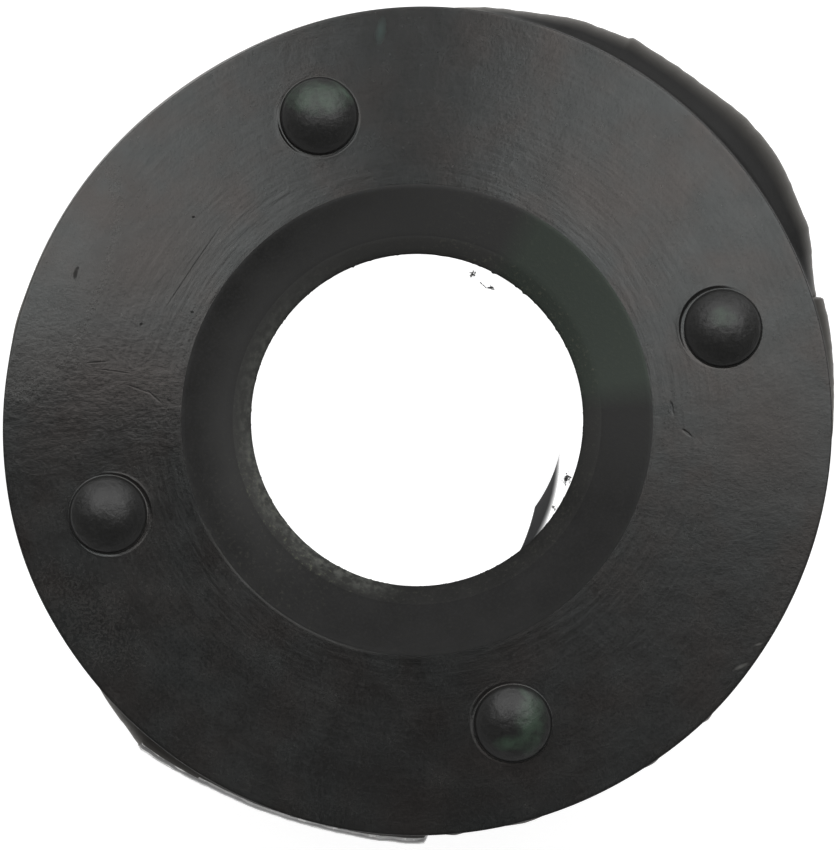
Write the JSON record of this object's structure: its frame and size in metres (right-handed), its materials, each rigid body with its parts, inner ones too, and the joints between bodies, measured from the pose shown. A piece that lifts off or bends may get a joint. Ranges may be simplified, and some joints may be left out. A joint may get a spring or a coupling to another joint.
{
  "type": "leaf spring shackle bushing",
  "caption": "Flanged rubber bushing with a plain bore, a conical lead-in and domed nubs on its flange face, for the eye or shackle of a leaf spring.",
  "frame": {"origin": "on the bore's axis at the flange's seat, the flat back of the flange", "axes": "+Z along the bore's axis, out of the flange's face; +X and +Y as right and up in the picture, seen on the face"},
  "size_m": [0.0455, 0.0459, 0.0389],
  "materials": {
    "rubber": "moulded black rubber, satin with a light bloom"
  },
  "bodies": {
    "root": {"bushing": "rubber"}
  },
  "joints": []
}
